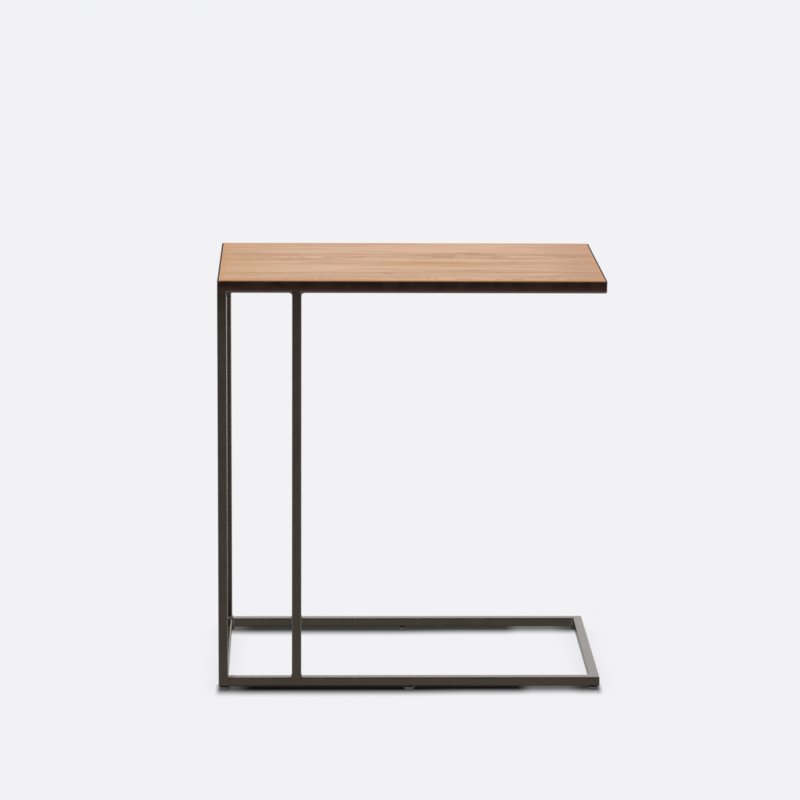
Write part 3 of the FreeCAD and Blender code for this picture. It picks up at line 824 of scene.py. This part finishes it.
class SIDETABLE_OT_boards(bpy.types.Operator):
    """Give each board its own run of oiled wood"""
    bl_idname = "side_table.boards"
    bl_label = "Boards"

    def execute(self, context):
        wood = context.scene.table_wood
        front, middle, rear = BOARDS
        surface = -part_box(middle)[1].z
        knot, no_knot = (0.277, -0.031, 0.0), (9, 9, 9)
        dark, pale, warm = wood.dark, wood.pale, wood.amber
        ends = (
            (warm, 0.50, -0.285, 0.0, 0.120, 0.60),
            (dark, 0.26, -0.278, 0.0, 0.016, 0.60),
            (dark, 0.42, 0.285, 0.0, 0.110, 0.60),
        )
        for board, name, shift, pith_line, lean, spot, darkness, marks in (
            (front, "Front board", (0.31, 0.075, surface), -0.075, 0.03, knot, 0.20, (
                (dark, 0.60, 0.000, -0.114, 0.026, 0.004),
                (dark, 0.40, -0.230, -0.124, 0.030, 0.004))),
            (middle, "Middle board", (0, 0, surface), 0.036, 0.07, no_knot, 0.20, (
                (warm, 0.80, 0.035, -0.018, 0.105, 0.017),
                (dark, 0.38, 0.045, -0.018, 0.070, 0.007),
                (dark, 0.70, 0.180, -0.092, 0.105, 0.005),
                (dark, 0.50, 0.240, -0.067, 0.055, 0.010),
                (dark, 0.50, 0.255, 0.004, 0.035, 0.010),
                (dark, 0.60, -0.146, 0.016, 0.060, 0.0045))),
            (rear, "Rear board", (-0.23, -0.19, surface), -0.140, -0.04, no_knot, 0.24, (
                (pale, 0.70, -0.150, 0.085, 0.150, 0.014),
                (pale, 0.70, 0.237, 0.075, 0.045, 0.006),
                (dark, 0.60, -0.235, 0.064, 0.065, 0.005),
                (dark, 0.45, 0.220, 0.135, 0.110, 0.005),
                (dark, 0.35, -0.100, 0.162, 0.280, 0.006))),
        ):
            marks += ends
            paint([board], board_material(wood, name, board, shift, pith_line, lean, spot, darkness, marks))
        return {"FINISHED"}


class SIDETABLE_OT_steel(bpy.types.Operator):
    """Blacken and lacquer the tubes and the angle frame"""
    bl_idname = "side_table.steel"
    bl_label = "Steel"

    def execute(self, context):
        steel = context.scene.table_steel
        spread, peel = 1.0, 0.012 * MM
        tube = steel_material(steel, "Tube steel", steel.black, steel.brown, spread, peel)
        rolled = steel_material(steel, "Angle steel", steel.rolled, steel.rolled_brown, spread, peel, True)
        paint(nodes_named("upright_", "base_rail_"), tube)
        paint(nodes_named("top_angle_"), rolled)
        return {"FINISHED"}


class SIDETABLE_OT_welds(bpy.types.Operator):
    """Raise ripples on the weld beads and grind the fills flush"""
    bl_idname = "side_table.welds"
    bl_label = "Weld beads"

    def execute(self, context):
        steel = context.scene.table_steel
        welds = context.scene.table_welds
        spread, peel = 0.3, 0.02 * MM
        metal = steel_material(steel, "Weld metal", steel.bead, steel.pale_bead, spread, peel)
        for name in BEAD_NODES:
            beads = merged_copy(name)
            for island in islands(beads):
                rippled_bead(welds, beads, island)
            finish_piece(f"{name}_beads", beads, metal, "frame", name)
        fill_low, fill_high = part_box("weld_fills")
        fills = bmesh.new()
        for name in UPRIGHTS:
            low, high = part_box(name)
            for bottom, top in ((fill_low.z, low.z), (high.z, fill_high.z)):
                ends = Vector((low.x, low.y, bottom)), Vector((high.x, high.y, top))
                add_to(fills, ground_fill(*ends, welds.tube_corner))
        ground = steel_material(steel, "Ground welds", steel.black, steel.brown, spread, peel)
        finish_piece("weld_fills_ground", fills, ground, "frame", "weld_fills")
        return {"FINISHED"}


class SIDETABLE_OT_screws(bpy.types.Operator):
    """Drive countersunk screws through the ledge into the boards"""
    bl_idname = "side_table.screws"
    bl_label = "Panel screws"

    def execute(self, context):
        screws = context.scene.table_screws
        plain = merged_copy("panel_screws")
        places = [corners_of(island) for island in islands(plain)]
        plain.free()
        together = bmesh.new()
        turn_step = math.radians(37)
        for number, (low, high) in enumerate(places):
            head_radius = (high.x - low.x) / 2
            screw = screw_builder(screws, head_radius, head_radius - screws.cone_height, high.z - low.z)
            screw.transform(upright_at(low, high, low.z) @ Matrix.Rotation(number * turn_step, 4, "Z"))
            add_to(together, screw)
        finish_piece("cross_recess_screws", together, zinc_material(screws.zinc), "frame",
                     "panel_screws")
        return {"FINISHED"}


class SIDETABLE_OT_glides(bpy.types.Operator):
    """Cut the threads of the glides and finish their pads and inserts"""
    bl_idname = "side_table.glides"
    bl_label = "Levelling glides"

    def execute(self, context):
        glides = context.scene.table_glides
        zinc = zinc_material(context.scene.table_screws.zinc)
        paint(nodes_named("glide_pad_"), plastic_material(glides.plastic))
        paint(nodes_named("glide_insert_"), zinc)
        for name in nodes_named("glide_stem_"):
            low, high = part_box(name)
            stem = stem_builder(glides, low.z, high.z)
            stem.transform(upright_at(low, high, 0))
            body = name.replace("glide_", "")
            finish_piece(f"{body}_threaded", stem, zinc, body, name)
        return {"FINISHED"}


class SIDETABLE_OT_studio(bpy.types.Operator):
    """Lay the pale floor and set the light and the camera"""
    bl_idname = "side_table.studio"
    bl_label = "Studio"

    def execute(self, context):
        studio = context.scene.table_studio
        self.lay_floor(context, studio)
        self.light_sky(context, studio)
        self.hang_key(context, studio)
        self.place_camera(context, studio)
        context.scene.view_settings.view_transform = "Standard"
        return {"FINISHED"}

    def lay_floor(self, context, studio):
        sheet = bmesh.new()
        just_below = Matrix.Translation((0, 0, -studio.floor_drop))
        bmesh.ops.create_grid(sheet, x_segments=1, y_segments=1, size=studio.floor_size / 2,
                              matrix=just_below)
        mesh = bpy.data.meshes.new("studio_floor")
        sheet.to_mesh(mesh)
        sheet.free()
        mesh.materials.append(floor_material(studio))
        floor = bpy.data.objects.new("studio_floor", mesh)
        context.scene.collection.objects.link(floor)

    def light_sky(self, context, studio):
        world = bpy.data.worlds.new("Studio sky")
        world.use_nodes = True
        context.scene.world = world
        w = Wiring(world.node_tree)
        world.node_tree.nodes.clear()
        rays = w.add("ShaderNodeLightPath").outputs
        way = w.add("ShaderNodeTexCoord").outputs["Generated"]
        axes = w.parts(way)
        rearward = w.plus(axes["Y"], w.times(axes["X"], 0.6))
        backdrop = w.between(rearward, -0.5, 0.5, studio.far_glow, 1.05)
        box_way = Vector((-0.55, -0.55, 0.63)).normalized()
        towards_box = w.add("ShaderNodeVectorMath", {0: way, 1: box_way}, operation="DOT_PRODUCT")
        softbox = w.between(towards_box.outputs["Value"], 0.94, 0.97, 0.0, studio.box_glow)
        backdrop = w.plus(backdrop, softbox)
        even = w.made("ShaderNodeBackground", {"Color": (1, 1, 1), "Strength": studio.sky})
        shown = w.made("ShaderNodeBackground", {"Color": studio.floor, "Strength": 1.0})
        mirrored = w.made("ShaderNodeBackground", {"Color": studio.floor, "Strength": backdrop})
        plain = w.plus(rays["Is Camera Ray"], rays["Is Transmission Ray"], True)
        seen = w.mixed(rays["Is Glossy Ray"], w.mixed(plain, even, shown), mirrored)
        w.add("ShaderNodeOutputWorld", {"Surface": seen})

    def hang_key(self, context, studio):
        lamp = bpy.data.lights.new("Key light", "SUN")
        lamp.energy = studio.sun
        lamp.angle = studio.sun_spread
        key = bpy.data.objects.new("Key light", lamp)
        key.rotation_euler = Euler((studio.sun_tilt, 0, studio.sun_turn))
        context.scene.collection.objects.link(key)

    def place_camera(self, context, studio):
        data = bpy.data.cameras.new("Studio camera")
        data.sensor_width = 36
        data.lens = studio.lens
        data.clip_end = 200
        camera = bpy.data.objects.new("Studio camera", data)
        camera.location = studio.eye
        camera.rotation_euler = Euler(studio.eye_turn)
        context.scene.collection.objects.link(camera)
        context.scene.camera = camera


def seen_directly(w):
    """1 for rays that show the studio itself: from the camera, off gloss or through glass."""
    rays = w.add("ShaderNodeLightPath").outputs
    return w.plus(w.plus(rays["Is Camera Ray"], rays["Is Glossy Ray"]), rays["Is Transmission Ray"], True)


def floor_material(studio):
    """An even pale floor, shaded close to what touches it and clear from below."""
    material, w, shader = new_material("Studio floor")
    w.fill(shader, {"Base Color": studio.floor, "Roughness": 1.0, "Specular IOR Level": 0.0})
    rays = w.add("ShaderNodeLightPath").outputs
    dimming = w.times(w.minus(glossy_floor(w, studio), 1.0), rays["Is Glossy Ray"])
    strength = w.times(w.plus(dimming, 1.0), contact_shade(w, studio))
    glow = w.made("ShaderNodeEmission", {"Color": studio.floor, "Strength": strength})
    shown = w.times(seen_directly(w), 1.0 - studio.lit_share)
    top_side = w.mixed(shown, shader.outputs[0], glow)
    clear = w.made("ShaderNodeBsdfTransparent")
    below = w.add("ShaderNodeNewGeometry").outputs["Backfacing"]
    output = material.node_tree.nodes["Material Output"]
    w.fill(output, {"Surface": w.mixed(below, top_side, clear)})
    return material


def contact_shade(w, studio):
    """Shade of what stands on the floor: a deep one along the two long rails, from a little before each rail
    to behind it, lifted towards the right, where the light comes in, and a faint one round the rest."""
    tilt = math.radians(30)
    leaning = (0.0, -math.sin(tilt), math.cos(tilt))
    near = w.add("ShaderNodeAmbientOcclusion", {"Distance": studio.shade_reach, "Normal": leaning}, samples=6)
    light = w.minus(1.0, w.times(w.minus(1.0, near.outputs["AO"]), studio.side_shade))
    axes = w.parts(w.object_place())
    left_end, right_end = (corner.x for corner in CAD_BOX)
    set_back = 3.5 * MM
    lift = w.times(w.between(axes["X"], 0.155, 0.18), w.between(axes["X"], 0.225, 0.255, 1.0, 0.25))
    drift = w.plus(w.times(lift, set_back), w.between(axes["X"], -0.03, 0.10, 0.0, set_back))
    left = w.between(axes["X"], left_end + 14 * MM, left_end + 50 * MM, 0.90, 1.0)
    ends = w.between(w.size_of(axes["X"]), right_end - 3 * MM, right_end + 7 * MM, 1.0, 0.0)
    for rail, clear in (("base_rail_front", 0.0), ("base_rail_rear", 0.04)):
        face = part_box(rail)[0].y
        behind = w.minus(axes["Y"], w.plus(drift, face))
        deep = w.times(w.between(behind, -33 * MM, 10 * MM), w.between(behind, 24 * MM, 42 * MM, 1.0, 0.0))
        most = w.minus(1.0 - clear, w.times(lift, 0.14))
        shade = w.times(w.times(deep, most), w.times(ends, left))
        light = w.math("MINIMUM", light, w.minus(1.0, shade))
    return light


def glossy_floor(w, studio):
    """How bright gloss shows the floor: half lit round the table, dark far before it, bright to the right."""
    axes = w.parts(w.object_place())
    before = w.math("MAXIMUM", w.minus(CAD_BOX[0].y, axes["Y"]), 0.0)
    beside = w.math("MAXIMUM", w.minus(CAD_BOX[0].x, axes["X"]), 0.0)
    away = w.plus(before, beside)
    dim = w.between(away, studio.dim_start, studio.dim_reach, studio.near_glow, studio.far_glow)
    dim = w.plus(dim, w.between(away, 0.05, 0.45, studio.foot_glow, 0.0))
    to_the_right = w.between(axes["X"], 0.45, 1.30, 0.0, studio.side_glow)
    bright = w.times(to_the_right, w.between(before, 0.10, 0.70, 1.0, 0.0))
    return w.math("MAXIMUM", dim, bright)


# ----------------------------------------------------------
# Panel and registration
# ----------------------------------------------------------

OPERATORS = (
    SIDETABLE_OT_boards,
    SIDETABLE_OT_steel,
    SIDETABLE_OT_welds,
    SIDETABLE_OT_screws,
    SIDETABLE_OT_glides,
    SIDETABLE_OT_studio,
)
SETTINGS = {
    "table_wood": TableWood,
    "table_steel": TableSteel,
    "table_welds": TableWelds,
    "table_screws": TableScrews,
    "table_glides": TableGlides,
    "table_studio": TableStudio,
}


class SIDETABLE_PT_panel(bpy.types.Panel):
    """Lists the steps and their settings"""
    bl_idname = "SIDETABLE_PT_panel"
    bl_label = "C Side Table"
    bl_space_type = "VIEW_3D"
    bl_region_type = "UI"
    bl_category = "Side Table"

    def draw(self, context):
        for operator in OPERATORS:
            self.layout.operator(operator.bl_idname)
        for name, settings in SETTINGS.items():
            box = self.layout.box()
            box.label(text=settings.__doc__)
            for prop in settings.__annotations__:
                box.prop(getattr(context.scene, name), prop)


def register():
    for settings in SETTINGS.values():
        bpy.utils.register_class(settings)
    for name, settings in SETTINGS.items():
        setattr(bpy.types.Scene, name, PointerProperty(type=settings))
    for item in (*OPERATORS, SIDETABLE_PT_panel):
        bpy.utils.register_class(item)


def unregister():
    for item in (SIDETABLE_PT_panel, *reversed(OPERATORS)):
        bpy.utils.unregister_class(item)
    for name in SETTINGS:
        delattr(bpy.types.Scene, name)
    for settings in reversed(SETTINGS.values()):
        bpy.utils.unregister_class(settings)


def main():
    register()
    bpy.ops.side_table.boards()
    bpy.ops.side_table.steel()
    bpy.ops.side_table.welds()
    bpy.ops.side_table.screws()
    bpy.ops.side_table.glides()
    bpy.ops.side_table.studio()


if __name__ == "__main__":
    main()
